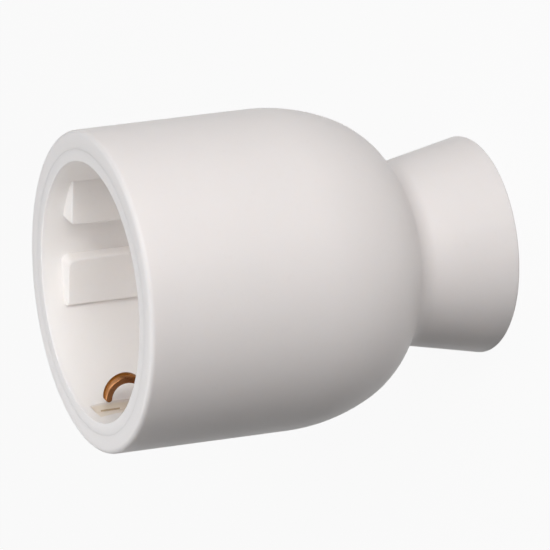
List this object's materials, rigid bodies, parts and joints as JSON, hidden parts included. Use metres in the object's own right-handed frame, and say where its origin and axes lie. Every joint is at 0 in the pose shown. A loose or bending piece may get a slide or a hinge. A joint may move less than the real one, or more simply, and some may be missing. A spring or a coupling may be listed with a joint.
{
  "type": "inline socket connector",
  "caption": "Round trailing socket for the end of a cord: barrel-shaped shell with a hollow flared tail, a recessed socket cup, side earth clips and live contacts behind the floor.",
  "frame": {"origin": "centre of the ring that the flared tail stands on", "axes": "+Z along the body towards the mouth, +X through the right live contact, +Y through the rear earth clip"},
  "size_m": [0.0504, 0.0504, 0.0652],
  "materials": {
    "shell_plastic": "warm white moulded plastic with a soft gloss",
    "insert_plastic": "warm white moulded plastic with a soft gloss",
    "carrier_plastic": "light grey moulded plastic",
    "contact_brass": "machined brass",
    "clip_bronze": "spring bronze strip, coppery brown",
    "spring_steel": "dark spring steel",
    "screw_steel": "zinc-plated steel"
  },
  "bodies": {
    "root": {"outer_shell": "shell_plastic", "socket_insert": "insert_plastic", "contact_carrier": "carrier_plastic", "cord_clamp_bar": "carrier_plastic", "live_contact_left": "contact_brass", "live_contact_right": "contact_brass", "earth_terminal": "contact_brass", "post_insert_front": "contact_brass", "post_insert_rear": "contact_brass", "earth_strap": "clip_bronze", "contact_spring_left": "spring_steel", "contact_spring_right": "spring_steel", "live_terminal_screw_left": "screw_steel", "live_terminal_screw_right": "screw_steel", "earth_terminal_screw": "screw_steel", "clamp_screw_left": "screw_steel", "clamp_screw_right": "screw_steel", "clamp_nut_left": "screw_steel", "clamp_nut_right": "screw_steel", "housing_screw_front": "screw_steel", "housing_screw_rear": "screw_steel", "carrier_screw_front": "screw_steel", "carrier_screw_rear": "screw_steel"}
  },
  "joints": []
}
